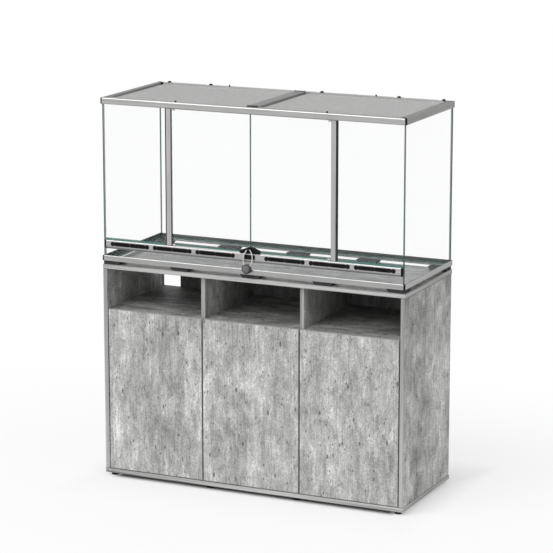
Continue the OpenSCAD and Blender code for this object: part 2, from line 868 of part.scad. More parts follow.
// Black U-section gaskets round the fixed panes' inner edges
module upright_gaskets() {
    color(black) for (s = [-1, 1]) on_side(s) difference() {
        box([upright_out - gasket_in, pane_front_y - gasket_t, sill_z + bearing_t],
            [upright_out + gasket_w, pane_front_y + door_pane_t + gasket_t, frame_z - bearing_t]);
        box([upright_out - gasket_in + 1, pane_front_y, sill_z],
            [upright_out + gasket_w + 1, pane_front_y + door_pane_t, frame_z]);
    }
}

// A bearing on a face at z = 0: a thin foot for the upright, and beside it a block, let into
// the profile behind that face, which is bored for the door's pin
module pivot_bearing() {
    difference() {
        union() {
            bar([upright_in, upright_y, 0],
                [upright_out, upright_y + upright_d, bearing_t], "z", 0.8);
            box([pivot_x, pivot_y - block_d / 2, 0], [upright_in + 2, pivot_y + block_d / 2, bearing_t]);
            box([pivot_x - block_w / 2, pivot_y - block_d / 2, -block_h],
                [pivot_x + block_w / 2, pivot_y + block_d / 2, bearing_t]);
        }
        translate([pivot_x, pivot_y, -block_h - 1])
            cylinder(h = block_h + bearing_t + 2, r = pivot_d / 2 + pivot_gap);
        box([upright_out - gasket_in + 0.9, pane_front_y - 0.1, -1],
            [upright_out + 1, pane_front_y + door_pane_t + 0.1, bearing_t + 1]);
    }
}

module pivot_bearings() {
    color(black) for (s = [-1, 1]) on_side(s) {
        translate([0, 0, sill_z]) pivot_bearing();
        translate([0, 0, frame_z]) mirror([0, 0, 1]) pivot_bearing();
    }
}

// Door pane, notched at its hinge corners for the pivot shoes
module glass_door(side) {
    notch_x = door_edge_x - shoe_len - 2;
    notch_h = bearing_t + shoe_gap + shoe_base;
    color(clear) on_side(side) difference() {
        box([seam_half, pane_front_y, glass_z],
            [door_edge_x, pane_front_y + door_pane_t, glass_top_z]);
        box([notch_x, pane_front_y - 1, glass_z - 1],
            [door_edge_x + 1, pane_front_y + 10, sill_z + notch_h]);
        box([notch_x, pane_front_y - 1, frame_z - notch_h],
            [door_edge_x + 1, pane_front_y + 10, glass_top_z + 1]);
    }
}

// Slim metal shoes on the door's hinge corners, each with a round pivot pin
module door_pivots(side) {
    x1 = door_edge_x - 1.5;
    x0 = x1 - shoe_len;
    shoe_z = bearing_t + shoe_gap;
    half_d = door_pane_t / 2 + shoe_wall;
    pin_len = shoe_z + pin_depth;
    module shoe() {
        difference() {
            bar([x0, pivot_y - half_d, shoe_z], [x1, pivot_y + half_d, shoe_z + shoe_h], "z", 1);
            box([x0 - 1, pane_front_y, shoe_z + shoe_base],
                [x1 + 1, pane_front_y + door_pane_t, shoe_z + shoe_h + 1]);
        }
        translate([pivot_x, pivot_y, shoe_z - pin_len]) cylinder(h = pin_len + eps, d = pivot_d);
    }
    color(steel) on_side(side) {
        translate([0, 0, sill_z]) shoe();
        translate([0, 0, frame_z]) mirror([0, 0, 1]) shoe();
    }
}

// Wedge-shaped handle on the door's lower free corner, with an eye for the lock's cable
module corner_handle(side) {
    y0 = pane_front_y - handle_front;
    y1 = pane_front_y + door_pane_t + handle_back;
    color(black) on_side(side) difference() {
        union() {
            translate([0, y1, 0]) rotate([90, 0, 0]) linear_extrude(y1 - y0)
                polygon([[handle_seam, handle_z], [handle_seam + handle_len, handle_z],
                         [handle_seam + handle_len, handle_z + handle_end_h],
                         [handle_seam + 8, handle_z + handle_h], [handle_seam, handle_z + handle_h]]);
            translate([handle_seam, eye_y, eye_z]) rotate([0, 90, 0])
                cylinder(h = eye_w, r = cable_d / 2 + eye_gap + eye_wall);
            box([handle_seam, eye_y, eye_z - cable_d / 2 - eye_gap - eye_wall],
                [handle_seam + eye_w, y0 + eps, eye_z + cable_d / 2 + eye_gap + eye_wall]);
        }
        box([-1, pane_front_y, glass_z], [handle_seam + handle_len + 1,
            pane_front_y + door_pane_t, handle_z + handle_h + 1]);
        translate([0, eye_y, eye_z]) rotate([0, 90, 0])
            cylinder(h = 40, r = cable_d / 2 + eye_gap);
    }
}

// ---------------------------------------------------------------- cable lock

// The cable's loop lies in one plane: over the top in one arc through the eyes, then down
// a long bow on each side into the lock's body. The bows are a hair thinner, and their
// upper ends run a little way into the top arc. The loop hangs askew about that arc's centre.
top_r = 8;
bow_a0 = 40;
bow_centre = -(bow_r - top_r) * [cos(bow_a0), sin(bow_a0)];
bow_foot = lock_drop - top_r - lock_d / 2 + cable_in;
bow_a1 = asin((bow_foot + bow_centre.y) / bow_r);

// Stands its children up in the loop's plane, from the top arc's centre
module loop_plane() {
    translate([0, eye_y, apex_z - top_r]) rotate([90, 0, 0]) rotate([0, 0, -lock_tilt]) children();
}

module cable_arc(centre, r, a0, a1, d = cable_d) {
    translate([centre.x, centre.y, 0]) rotate([0, 0, a0]) rotate_extrude(angle = a1 - a0)
        translate([r, 0]) circle(d = d);
}

module lock_cable() {
    color(sleeve) loop_plane() {
        cable_arc([0, 0], top_r, bow_a0, 180 - bow_a0);
        for (s = [-1, 1]) on_side(s)
            cable_arc(bow_centre, bow_r, -bow_a1, bow_a0 + 0.5, cable_d - 0.1);
    }
}

// Round lock body with rounded rims and a sunk front, bored for both ends of the cable
module lock_body() {
    rim = 2.5;
    r = lock_d / 2;
    color(lock_grey) loop_plane() difference() {
        translate([0, top_r - lock_drop, -lock_t / 2]) rotate_extrude() difference() {
            square([r, lock_t]);
            translate([r, 0]) mirror([1, 0]) corner_fill(rim);
            translate([r, lock_t]) mirror([1, 0]) mirror([0, 1]) corner_fill(rim);
            translate([0, lock_t - 0.6]) square([r - 4.5, 1]);
        }
        for (s = [-1, 1]) on_side(s) cable_arc(bow_centre, bow_r, -bow_a1, 0);
    }
}

// Waste at a corner at the origin, to leave it with radius r
module corner_fill(r) {
    difference() {
        translate([-1, -1]) square(r + 1);
        translate([r, r]) circle(r);
    }
}

// ---------------------------------------------------------------- lids

// Mesh lid: a flat square mesh over a rim, resting on the ledges
module mesh_lid(side) {
    w = lid_x1 - lid_x0 - 2 * lid_rim_w;
    d = lid_y1 - lid_y0 - 2 * lid_rim_w;
    gap_x = (w - (mesh_nx - 1) * mesh_bar) / mesh_nx;
    gap_y = (d - (mesh_ny - 1) * mesh_bar) / mesh_ny;
    mesh_z = lid_z + lid_rim_t - mesh_t;
    color(steel) on_side(side) {
        difference() {
            box([lid_x0, lid_y0, lid_z], [lid_x1, lid_y1, lid_z + lid_rim_t]);
            box([lid_x0 + lid_rim_w, lid_y0 + lid_rim_w, lid_z - 1],
                [lid_x1 - lid_rim_w, lid_y1 - lid_rim_w, mesh_z]);
            for (i = [0:mesh_nx - 1], j = [0:mesh_ny - 1])
                translate([lid_x0 + lid_rim_w + i * (gap_x + mesh_bar),
                           lid_y0 + lid_rim_w + j * (gap_y + mesh_bar), mesh_z - 1])
                    cube([gap_x, gap_y, mesh_t + 2]);
        }
    }
}

// Small black buttons on the rails beside each lid's middle
module rail_buttons() {
    inset = rail_r + button_d / 2 + 1;
    color(black) for (s = [-1, 1], y = [frame_y + inset, frame_rear_y - inset])
        translate([s * button_x, y, top_z]) cylinder(h = button_h, d = button_d);
}

// Half-round grommets on the back rail, beside the cable notches
module cable_grommets() {
    t = 6;
    color(black) for (x = grommet_xs)
        translate([x, frame_rear_y - rail_r - 1, top_z]) rotate([90, 0, 0]) linear_extrude(t)
            intersection() {
                translate([0, grommet_h - grommet_d / 2]) circle(d = grommet_d);
                translate([-grommet_d / 2, 0]) square([grommet_d, grommet_d]);
            }
}

bottom_board();
top_board();
side_panel(-1);  // side_panel_left
side_panel(1);  // side_panel_right
divider(-1);  // divider_left
divider(1);  // divider_right
niche_shelves();
back_panel();
cabinet_feet();
cabinet_door(-1);  // cabinet_door_left
cabinet_door(0);  // cabinet_door_middle
cabinet_door(1);  // cabinet_door_right
hinge_cups(-1);  // hinge_cups_left
hinge_cups(0);  // hinge_cups_middle
hinge_cups(1);  // hinge_cups_right
hinge_arms();
latch_housings();
latch_plunger(-1);  // latch_plunger_left
latch_plunger(0);  // latch_plunger_middle
latch_plunger(1);  // latch_plunger_right
tank_pads();
base_rail_x(false);  // base_rail_front
base_rail_x(true);  // base_rail_back
base_rail_y(-1);  // base_rail_left
base_rail_y(1);  // base_rail_right
base_frame_corners();
base_pane();
back_pane();
side_pane(-1);  // side_pane_left
side_pane(1);  // side_pane_right
lower_front_pane();
vent_profile();
vent_profile_caps();
vent_inserts();
blank_plate();
fixed_pane(-1);  // fixed_pane_left
fixed_pane(1);  // fixed_pane_right
upright(-1);  // upright_left
upright(1);  // upright_right
upright_gaskets();
pivot_bearings();
glass_door(-1);  // glass_door_left
glass_door(1);  // glass_door_right
door_pivots(-1);  // door_pivots_left
door_pivots(1);  // door_pivots_right
corner_handle(-1);  // corner_handle_left
corner_handle(1);  // corner_handle_right
lock_cable();
lock_body();
top_rail_x(false);  // top_rail_front
top_rail_x(true);  // top_rail_back
top_rail_y(-1);  // top_rail_left
top_rail_y(1);  // top_rail_right
crossbar();
top_frame_corners();
mesh_lid(-1);  // mesh_lid_left
mesh_lid(1);  // mesh_lid_right
rail_buttons();
cable_grommets();
crossbar_plates();
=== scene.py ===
import math
import bpy
import bmesh
from mathutils import Vector, Matrix


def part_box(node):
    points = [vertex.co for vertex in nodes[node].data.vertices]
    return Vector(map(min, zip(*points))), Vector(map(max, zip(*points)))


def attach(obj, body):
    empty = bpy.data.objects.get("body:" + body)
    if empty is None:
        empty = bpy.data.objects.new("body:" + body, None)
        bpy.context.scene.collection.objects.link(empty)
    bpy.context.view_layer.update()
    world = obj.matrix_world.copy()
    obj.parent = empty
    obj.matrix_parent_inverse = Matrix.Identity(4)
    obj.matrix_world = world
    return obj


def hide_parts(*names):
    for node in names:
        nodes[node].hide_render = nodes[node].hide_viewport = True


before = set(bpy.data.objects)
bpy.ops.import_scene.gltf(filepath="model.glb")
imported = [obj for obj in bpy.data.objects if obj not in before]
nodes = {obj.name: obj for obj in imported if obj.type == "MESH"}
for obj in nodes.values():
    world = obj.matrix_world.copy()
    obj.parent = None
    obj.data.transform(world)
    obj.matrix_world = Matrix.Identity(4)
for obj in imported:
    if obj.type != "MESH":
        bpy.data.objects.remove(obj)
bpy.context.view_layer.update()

scene = bpy.context.scene


# ---------------------------------------------------------------- node materials

def rgba(value):
    """Four channels from a grey level or from three channels."""
    return (value, value, value, 1) if isinstance(value, (int, float)) else (*value, 1)


def scaled(colour, k):
    return tuple(k * c for c in colour)


class Mat:
    """A Principled material and a few shorthands for wiring nodes into it."""

    def __init__(self, name, **sockets):
        self.m = bpy.data.materials.new(name)
        self.m.use_nodes = True
        self.t = self.m.node_tree
        self.t.nodes.clear()
        self.out = self.t.nodes.new("ShaderNodeOutputMaterial")
        self.b = self.t.nodes.new("ShaderNodeBsdfPrincipled")
        self.link(self.b.outputs[0], self.out.inputs[0])
        for key, value in sockets.items():
            self.b.inputs[key.replace("_", " ")].default_value = value

    def link(self, a, b):
        self.t.links.new(a, b)

    def set(self, name, socket):
        self.link(socket, self.b.inputs[name])

    def node(self, kind, inputs, **props):
        """A new node. Each of its inputs is given as a socket to link or as a value."""
        n = self.t.nodes.new(kind)
        for key, value in props.items():
            setattr(n, key, value)
        for key, value in inputs.items():
            if isinstance(value, bpy.types.NodeSocket):
                self.link(value, n.inputs[key])
            else:
                n.inputs[key].default_value = value
        return n

    def coords(self, scale=(1, 1, 1), shift=(0, 0, 0)):
        """Object coordinates, which are the frame's metres, scaled and shifted."""
        tc = self.node("ShaderNodeTexCoord", {})
        return self.node("ShaderNodeMapping", {"Vector": tc.outputs["Object"], "Scale": scale,
                                               "Location": shift}).outputs[0]

    def axis(self, letter, kind="Object"):
        """One axis of the object coordinates or of another set of texture coordinates."""
        tc = self.node("ShaderNodeTexCoord", {})
        sep = self.node("ShaderNodeSeparateXYZ", {"Vector": tc.outputs[kind]})
        return sep.outputs["xyz".index(letter)]

    def noise(self, vec, scale, detail=4.0, rough=0.55, distort=0.0):
        return self.node("ShaderNodeTexNoise",
                         {"Vector": vec, "Scale": scale, "Detail": detail, "Roughness": rough,
                          "Distortion": distort}).outputs[0]

    def ramp(self, fac, *stops):
        """A colour ramp. Each stop is a position and a grey level or colour."""
        n = self.node("ShaderNodeValToRGB", {"Fac": fac})
        els = n.color_ramp.elements
        while len(els) < len(stops):
            els.new(0.5)
        for e, (position, value) in zip(els, stops):
            e.position = position
            e.color = rgba(value)
        return n.outputs[0]

    def fade(self, value, near, far, at_near, at_far):
        """A straight run from one value at near to another at far, held beyond both."""
        return self.node("ShaderNodeMapRange",
                         {"Value": value, "From Min": near, "From Max": far, "To Min": at_near,
                          "To Max": at_far}).outputs[0]

    def mix(self, fac, a, b, blend="MIX"):
        a, b = (c if isinstance(c, bpy.types.NodeSocket) else rgba(c) for c in (a, b))
        # the colour mix has its factor on input 0, its colours on 6 and 7, its result on 2
        return self.node("ShaderNodeMix", {0: fac, 6: a, 7: b}, data_type="RGBA",
                         blend_type=blend).outputs[2]

    def times(self, a, b):
        return self.mix(1.0, a, b, "MULTIPLY")

    def math(self, op, a, b=0.0):
        return self.node("ShaderNodeMath", {0: a, 1: b}, operation=op).outputs[0]

    def bump(self, height, strength, distance):
        n = self.node("ShaderNodeBump", {"Height": height, "Strength": strength,
                                         "Distance": distance})
        self.set("Normal", n.outputs[0])


def face_mask(m, axis):
    """1 on faces that look along an object axis, 0 on the others."""
    return m.math("GREATER_THAN", m.math("ABSOLUTE", m.axis(axis, "Normal")), 0.7)


# Tint of the concrete and the aluminium, a little warmer than white
OFF_WHITE = (1.0, 1.0, 0.985)

# The concrete look: pale flecks where the paste has come away, thin lines left by the form's
# boards, pits, and painted shade on the seams against other boards. A cover is how strongly a
# colour lies over the rest; a seam's painted shade is dark up to the first distance from its
# middle and ends at the other.
FLECK, FLECK_COVER = (0.66, 0.66, 0.645), 0.6
FORM_LINE, FORM_LINE_COVER = (0.17, 0.17, 0.165), 0.22
PIT = (0.085, 0.085, 0.08)
# painted shade along the seams, where the crease between two boards is shaded
SEAM_SHADE, SEAM_SHADE_COVER = (0.11, 0.11, 0.105), 0.9
SEAM_SHADE_DARK, SEAM_SHADE_END = 0.0014, 0.0034

# Large pits and small ones: cells a metre, a pit's radius in cells, the wobble of its rim,
# patches a metre, and the noise level from which a patch has pits
PIT_SIZES = ((26, 0.11, 0.06, 8.0, 0.42), (75, 0.17, 0.06, 22.0, 0.475))

# Height over which a board is painted paler towards the floor, a painted light
TONE_RISE = 0.8


def concrete(name, along, face, tone=1.0, joints=(), stretch=1.0, edge=0.385, lift=0.0,
             contrast=0.0, grain=1.0, pitting=0.86):
    """Concrete-look facing with banded edges. Its streaks run along one axis, and the sides
    that look along the face axis have the full pattern; the rest is banding with lengthwise
    lines. joints lists heights at which another board butts against this one or a door's foot
    meets the bottom board; along each a dark line is painted as shade in the crease. A low tone
    is painted shade for the boards inside the niches, stretch widens the pattern along Y, edge
    is the banding's tone and lift how much paler the foot is, a painted light. contrast
    strengthens the pattern and grain the lengthwise lines of the banding, and pitting is how
    dark the pits are."""
    m = Mat(name)

    def squeeze(k):
        return tuple(k if a == along else stretch if a == "y" else 1.0 for a in "xyz")

    slow = m.coords(squeeze(0.40))
    clouds = m.ramp(m.noise(slow, 8.5, 5, 0.6, 0.5),
                    (0.30, 0.295), (0.45, 0.375), (0.54, 0.420), (0.60, 0.490), (0.70, 0.590))
    patches = m.ramp(m.noise(m.coords(squeeze(0.45), (3, 1, 2)), 27, 5, 0.62, 0.8),
                     (0.30, 0.64), (0.52, 1.0), (0.72, 1.36))
    streaks = m.ramp(m.noise(m.coords(squeeze(0.05), (1, 4, 2)), 150, 4, 0.7),
                     (0.30, 0.72), (0.52, 1.0), (0.74, 1.22))
    speckle = m.ramp(m.noise(m.coords(squeeze(0.6), (5, 2, 7)), 300, 3, 0.7),
                     (0.28, 0.54), (0.50, 1.0), (0.72, 1.46))
    col = m.times(m.times(m.times(clouds, patches), streaks), speckle)

    fleck = m.ramp(m.noise(m.coords(squeeze(0.4), (7, 3, 5)), 120, 5, 0.75, 1.0),
                   (0.60, 0.0), (0.67, 1.0))
    col = m.mix(m.math("MULTIPLY", fleck, FLECK_COVER), col, FLECK)
    form_line = m.ramp(m.noise(m.coords(squeeze(0.012), (4, 9, 1)), 60, 2, 0.4),
                       (0.486, 0.0), (0.496, 1.0), (0.503, 1.0), (0.513, 0.0))
    col = m.mix(m.math("MULTIPLY", form_line, FORM_LINE_COVER), col, FORM_LINE)

    pits = None
    for cells, radius, wobble, patch, level in PIT_SIZES:
        cell = m.node("ShaderNodeTexVoronoi",
                      {"Vector": m.coords(squeeze(0.42), (cells * 0.1, 0.7, 0.3)),
                       "Scale": float(cells), "Randomness": 1.0})
        rim = m.math("MULTIPLY", m.noise(m.coords(), 300, 2, 0.5), wobble)
        hole = m.ramp(m.math("ADD", cell.outputs["Distance"], rim),
                      (radius, 1.0), (radius + 0.06, 0.0))
        where = m.ramp(m.noise(m.coords((1, 1, 1), (cells * 0.3, 5, 2)), patch, 3, 0.6),
                       (level, 0.0), (level + 0.05, 1.0))
        one = m.math("MULTIPLY", hole, where)
        pits = one if pits is None else m.math("MAXIMUM", pits, one)
    col = m.mix(m.math("MULTIPLY", pits, pitting), col, PIT)
    col = m.node("ShaderNodeBrightContrast", {"Color": col, "Bright": 0.08 * contrast,
                                              "Contrast": contrast}).outputs[0]

    # banding on the edges: lines that run the whole length of the board
    flat = tuple(0.01 if a == along or (along != "z" and a != "z") else 1.0 for a in "xyz")
    lines = m.ramp(m.noise(m.coords(flat, (2, 5, 3)), 220, 3, 0.6),
                   (0.30, 1 - 0.36 * grain), (0.50, 1.0), (0.70, 1 + 0.28 * grain))
    col = m.mix(face_mask(m, face), m.times(edge, lines), col)
    # painted shade along each seam, a dark line where the crease would be shaded
    for z in joints:
        gap = m.math("ABSOLUTE", m.math("SUBTRACT", m.axis("z"), z))
        col = m.mix(m.fade(gap, SEAM_SHADE_DARK, SEAM_SHADE_END, SEAM_SHADE_COVER, 0.0), col, SEAM_SHADE)
    # painted light: the board is made paler towards its foot
    rise = m.fade(m.axis("z"), 0.0, TONE_RISE, tone * (1 + lift), tone * (1 - lift))
    m.set("Base Color", m.times(col, m.times(rise, OFF_WHITE)))
    m.set("Roughness", m.ramp(m.noise(slow, 30, 3), (0.3, 0.50), (0.7, 0.66)))
    m.b.inputs["Specular IOR Level"].default_value = 0.35
    m.bump(m.math("SUBTRACT", m.math("MULTIPLY", streaks, 0.4), pits), 0.30, 0.0006)
    return m.m


# Painted shade: the tone of a metal face that looks down, and the height over which its
# lowest part is shaded
METAL_DOWN_SHADE = 0.12
METAL_FOOT = 0.0035


def brushed(name, along, front, side, top, edge=None, rough=0.34, graze=1.0, under=0.55):
    """Anodised aluminium, drawn lengthwise, with painted light and shade. Its tone is set apart
    for faces that look along Y, X and up, as each is lit, and is dark on faces that look down;
    edge gives a height under which the face is painted in its own shade, under is how dark that
    is and graze is the metal's brightness at a glancing view."""
    m = Mat(name, Metallic=1.0, Anisotropic=0.3, Specular_Tint=(graze, graze, graze, 1.0))
    out_x, out_y = m.axis("x", "Normal"), m.axis("y", "Normal")
    up = m.math("MAXIMUM", m.axis("z", "Normal"), 0.0)
    # painted light and shade: each face's tone by the way it looks, dark where it looks down
    col = METAL_DOWN_SHADE
    for part, tone in ((out_x, side), (out_y, front), (up, top)):
        weight = m.math("MULTIPLY", part, part)
        col = m.math("ADD", m.math("MULTIPLY", weight, tone - METAL_DOWN_SHADE), col)
    drawn = m.coords(tuple(0.01 if a == along else 1.0 for a in "xyz"))
    # fine drawing lines, broad ones and a faint mottle, each between two levels
    lines = m.noise(drawn, 420, 3, 0.6)
    for ribs, low, high in ((lines, 0.84, 1.12), (m.noise(drawn, 170, 2, 0.5), 0.88, 1.10),
                            (m.noise(m.coords(), 14, 3, 0.5), 0.96, 1.03)):
        col = m.math("MULTIPLY", col, m.ramp(ribs, (0.28, low), (0.72, high)))
    if edge is not None:
        col = m.math("MULTIPLY", col, m.fade(m.axis("z"), edge, edge + METAL_FOOT, under, 1.0))
    m.set("Base Color", m.times(col, OFF_WHITE))
    m.set("Roughness", m.ramp(lines, (0.2, rough - 0.04), (0.8, rough + 0.06)))
    m.bump(lines, 0.12, 0.0002)
    return m.m


def plastic(name, tone, rough, grain=2600, amount=0.15, spec=0.5):
    """Moulded plastic or rubber with a fine eroded grain."""
    m = Mat(name)
    m.b.inputs["Specular IOR Level"].default_value = spec
    fine = m.noise(m.coords(), grain, 2, 0.5)
    broad = m.noise(m.coords(), 60, 3, 0.5)
    m.set("Base Color", m.ramp(broad, (0.3, scaled(tone, 0.8)), (0.7, scaled(tone, 1.2))))
    m.set("Roughness", m.ramp(fine, (0.3, rough - 0.06), (0.7, rough + 0.06)))
    m.bump(fine, amount, 0.0002)
    return m.m


def metal(name, tone, rough, metallic=1.0):
    """Plain or painted metal with a faint mottle."""
    m = Mat(name, Metallic=metallic)
    fine = m.noise(m.coords(), 1200, 3, 0.6)
    broad = m.noise(m.coords(), 45, 3, 0.5)
    m.set("Base Color", m.ramp(broad, (0.3, scaled(tone, 0.92)), (0.7, scaled(tone, 1.06))))
    m.set("Roughness", m.ramp(fine, (0.3, rough - 0.05), (0.7, rough + 0.07)))
    m.bump(fine, 0.06, 0.0001)
    return m.m


def disc_paint(name, box, tone, rough):
    """Painted metal on an upright disc, with a dark ring of painted shade near its rim where a
    groove would be shaded, and painted light that makes it paler towards its upper left."""
    m = Mat(name, Metallic=0.8)
    lo, hi = box
    mid = [(a + b) / 2 for a, b in zip(lo, hi)]
    radius = (hi[0] - lo[0]) / 2
    u = m.math("MULTIPLY", m.math("SUBTRACT", m.axis("x"), mid[0]), 1 / radius)
    w = m.math("MULTIPLY", m.math("SUBTRACT", m.axis("z"), mid[2]), 1 / radius)
    out = m.math("SQRT", m.math("ADD", m.math("MULTIPLY", u, u), m.math("MULTIPLY", w, w)))
    # painted light and shade: the ring near the rim is painted dark, and the face is painted
    # paler towards the upper left
    light_slope = m.math("ADD", m.math("MULTIPLY", u, -0.30), m.math("MULTIPLY", w, 0.18))
    ring_shade = m.ramp(out, (0.62, 1.05), (0.80, 0.50), (0.92, 0.42), (1.0, 0.60))
    mottle = m.ramp(m.noise(m.coords(), 260, 3, 0.6), (0.3, 0.85), (0.7, 1.15))
    shade = m.math("MULTIPLY", m.math("ADD", ring_shade, light_slope), mottle)
    m.set("Base Color", m.times(shade, tone))
    m.set("Roughness", m.ramp(m.noise(m.coords(), 1200, 3, 0.6),
                              (0.3, rough - 0.05), (0.7, rough + 0.07)))
    return m.m


# Float glass: its edges from dark to pale, its faces, and its ground edges seen through a face
GLASS_EDGE = (0.022, 0.055, 0.046), (0.060, 0.115, 0.098)
GLASS_FACE = (0.55, 0.66, 0.66)
GLASS_GROUND = (0.08, 0.18, 0.16)
EDGE_ALPHA = 0.94

# Where a ground edge glows, in metres from the glass's foot or from the doors' seam, and how
# strongly
FOOT_GLOW = (0.0058, 0.0088, 0.80)
SEAM_GLOW = (0.0013, 0.0021, 0.85)


def glass(name, thin, body=0.016, foot=None, deep=1.0):
    """Float glass: clear across its thickness and dark green along its edges. foot gives the
    height of a ground lower edge, which glows green through the last few millimetres, as the
    arrises do where two doors meet at x = 0, and deep scales the tone of the edges."""
    m = Mat(name, IOR=1.5)
    face = face_mask(m, thin)
    wave = m.noise(m.coords((1, 1, 0.15)), 30, 3, 0.5)
    edge = m.ramp(wave, *zip((0.3, 0.7), (scaled(c, deep) for c in GLASS_EDGE)))
    smear = m.noise(m.coords(), 6, 4, 0.6)
    clear = m.ramp(smear, (0.3, body * 0.85), (0.7, body * 1.15))
    tint = GLASS_FACE
    if foot is not None:
        near, far, strength = FOOT_GLOW
        glow = m.fade(m.axis("z"), foot + near, foot + far, strength, 0.0)
        near, far, strength = SEAM_GLOW
        seam = m.math("ABSOLUTE", m.axis("x"))
        glow = m.math("MAXIMUM", glow, m.fade(seam, near, far, strength, 0.0))
        clear = m.math("MAXIMUM", clear, glow)
        tint = m.mix(m.math("GREATER_THAN", glow, 0.01), GLASS_FACE, GLASS_GROUND)
    m.set("Base Color", m.mix(face, edge, tint))
    m.set("Alpha", m.mix(face, EDGE_ALPHA, clear))
    m.set("Roughness", m.ramp(smear, (0.3, 0.02), (0.7, 0.06)))
    m.m.surface_render_method = "BLENDED"
    return m.m


# The darker tones of the dividers, the niche shelves and the back board are painted shade for
# the dim niches, and the paler foot of the side panels is painted light
BOARD_SIDE = concrete("concrete_side", "z", "x", 1.03, joints=(0.028, 0.794), stretch=0.5,
                      edge=0.325, lift=0.18, contrast=0.20, pitting=0.45)
DIVIDER = concrete("concrete_divider", "z", "x", 0.75, edge=0.411, pitting=0.45)
SHELF = concrete("concrete_shelf", "x", "z", 0.74, edge=0.411, contrast=0.35)
BOARD_FRONT = concrete("concrete_front", "z", "y", 1.03, joints=(0.0295,), lift=0.01)
BOARD_LEVEL = concrete("concrete_level", "x", "z", 0.96, grain=1.9)
BACK = concrete("back_board", "z", "y", 0.50)
# Lit and shaded copies of one aluminium: their tones by face and by place are painted light and
# shade
RAIL_X_TOP = brushed("aluminium_x_top", "x", 0.455, 0.33, 0.40, edge=1.406, graze=0.7)
RAIL_X_BASE = brushed("aluminium_x_base", "x", 0.40, 0.33, 0.80)
RAIL_X_REAR = brushed("aluminium_x_rear", "x", 0.66, 0.33, 0.50, graze=0.7)
RAIL_Y = brushed("aluminium_y", "y", 0.33, 0.34, 0.29, graze=0.65)
RAIL_Y_BASE = brushed("aluminium_y_base", "y", 0.33, 0.46, 0.24, graze=0.65)
UPRIGHT = brushed("aluminium_z", "z", 0.47, 0.13, 0.40)
VENT = brushed("aluminium_vent", "x", 0.44, 0.33, 0.85, edge=0.8755, under=0.42)
BLACK = plastic("black_plastic", (0.014, 0.014, 0.015), 0.5, spec=0.012)
PLATE = plastic("grey_plastic", (0.040, 0.040, 0.042), 0.5, spec=0.012)
RUBBER = plastic("black_rubber", (0.042, 0.042, 0.043), 0.7, grain=1800, amount=0.25, spec=0.05)
STEEL = metal("hinge_steel", (0.60, 0.60, 0.61), 0.28)
WIRE = metal("mesh_wire", (0.465, 0.465, 0.462), 0.55, metallic=0.4)
LOCK = disc_paint("lock_paint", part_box("lock_body"), (0.150, 0.150, 0.158), 0.36)
SLEEVE = plastic("cable_sleeve", (0.66, 0.66, 0.62), 0.35, grain=1500, amount=0.1)
GLASS_Y = glass("glass_front", "y")
GLASS_SILL = glass("glass_over_sill", "y", foot=0.902, deep=0.4)
GLASS_X = glass("glass_side", "x")
GLASS_Z = glass("glass_level", "z", body=0.05)

# Which nodes have which material; the others are black plastic
WEAR = {
    BOARD_LEVEL: "bottom_board top_board",
    SHELF: "niche_shelves",
    BOARD_SIDE: "side_panel_left side_panel_right",
    DIVIDER: "divider_left divider_right",
    BOARD_FRONT: "cabinet_door_left cabinet_door_middle cabinet_door_right",
    BACK: "back_panel",
    STEEL: "hinge_cups_left hinge_cups_middle hinge_cups_right hinge_arms door_pivots_left "
           "door_pivots_right",
    RUBBER: "tank_pads upright_gaskets",
    RAIL_X_BASE: "base_rail_front base_rail_back",
    RAIL_X_TOP: "top_rail_front",
    RAIL_X_REAR: "top_rail_back",
    RAIL_Y: "top_rail_left top_rail_right crossbar",
    RAIL_Y_BASE: "base_rail_left base_rail_right",
    VENT: "vent_profile",
    UPRIGHT: "upright_left upright_right",
    GLASS_X: "side_pane_left side_pane_right",
    GLASS_Y: "back_pane lower_front_pane",
    GLASS_SILL: "fixed_pane_left fixed_pane_right glass_door_left glass_door_right",
    GLASS_Z: "base_pane",
    SLEEVE: "lock_cable",
    LOCK: "lock_body",
    PLATE: "crossbar_plates",
    WIRE: "mesh_lid_left mesh_lid_right",
}
dress = {name: mat for mat, names in WEAR.items() for name in names.split()}
for name, ob in nodes.items():
    ob.data.materials.clear()
    ob.data.materials.append(dress.get(name, BLACK))


# ---------------------------------------------------------------- mesh lids

LID_RIM = 0.008      # width of a lid's folded rim
LID_EASE = 0.0008    # chamfer on its two top arrises
MESH_PITCH = 0.0022
WIRE_R = 0.0004
WIRE_FLAT = 0.8      # how far a wire is pressed flat where another one crosses it
MESH_TUCK = 0.002    # how far the mesh runs on under the rim
MESH_DEPTH = 0.0005  # middle of the mesh under the rim's top


def add(name, bm, mat, body):
    me = bpy.data.meshes.new(name)
    bm.to_mesh(me)
    bm.free()
    ob = bpy.data.objects.new(name, me)
    scene.collection.objects.link(ob)
    me.materials.append(mat)
    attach(ob, body)
    return ob


def box_into(bm, lo, hi):
    lo, hi = Vector(lo), Vector(hi)
    bmesh.ops.create_cube(bm, size=1, matrix=Matrix.Translation((lo + hi) / 2)
                          @ Matrix.Diagonal((*(hi - lo), 1)))


def ring_into(bm, lo, hi, width, ease):
    """A mitred rectangular rim between two corners, its two top arrises eased."""
    profile = [(0, lo[2]), (width, lo[2]), (width, hi[2] - ease), (width - ease, hi[2]),
               (ease, hi[2]), (0, hi[2] - ease)]
    loops = []
    for far_x, far_y in ((0, 0), (1, 0), (1, 1), (0, 1)):
        loops.append([bm.verts.new((hi[0] - u if far_x else lo[0] + u,
                                    hi[1] - u if far_y else lo[1] + u, z)) for u, z in profile])
    for i, a in enumerate(loops):
        b = loops[(i + 1) % len(loops)]
        for j in range(len(profile)):
            k = (j + 1) % len(profile)
            bm.faces.new((a[j], b[j], b[k], a[k]))


